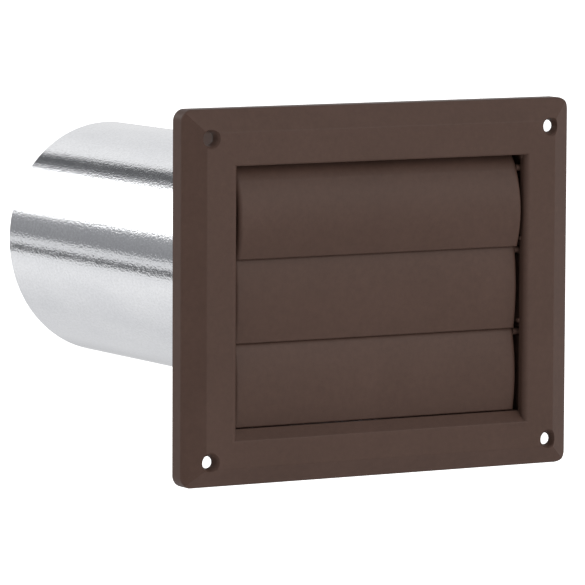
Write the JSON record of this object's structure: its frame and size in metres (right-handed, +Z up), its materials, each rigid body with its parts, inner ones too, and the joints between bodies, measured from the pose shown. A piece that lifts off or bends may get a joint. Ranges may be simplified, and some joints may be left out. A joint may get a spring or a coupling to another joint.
{
  "type": "louvred exterior wall vent",
  "caption": "Exterior wall vent: moulded frame and air box with hinged backdraft louvers and a round metal tail pipe.",
  "frame": {"origin": "Centre of the wall plane, on the back edge of the face flange's rim, midway between its left and right edges and between its top and bottom edges.", "axes": "+X to the right seen from outdoors, +Y into the wall along the tail pipe, +Z up."},
  "size_m": [0.182, 0.2419, 0.152],
  "materials": {
    "brown_plastic": "satin, fine moulded grain",
    "sheet_aluminium": "bright mill finish, finely pebbled"
  },
  "bodies": {
    "housing": {"housing": "brown_plastic", "tail_pipe": "sheet_aluminium"},
    "louver_top": {"louver_top": "brown_plastic"},
    "louver_middle": {"louver_middle": "brown_plastic"},
    "louver_bottom": {"louver_bottom": "brown_plastic"}
  },
  "joints": [
    {"name": "louver_top_hinge", "type": "hinge", "parent": "housing", "child": "louver_top", "pos_m": [0, -0.006, 0.0475], "axis": [-1, 0, 0], "range_deg": [0, 75]},
    {"name": "louver_middle_hinge", "type": "hinge", "parent": "housing", "child": "louver_middle", "pos_m": [0, -0.0052, 0.0135], "axis": [-1, 0, 0], "range_deg": [0, 75]},
    {"name": "louver_bottom_hinge", "type": "hinge", "parent": "housing", "child": "louver_bottom", "pos_m": [0, -0.0046, -0.0205], "axis": [-1, 0, 0], "range_deg": [0, 75]}
  ]
}
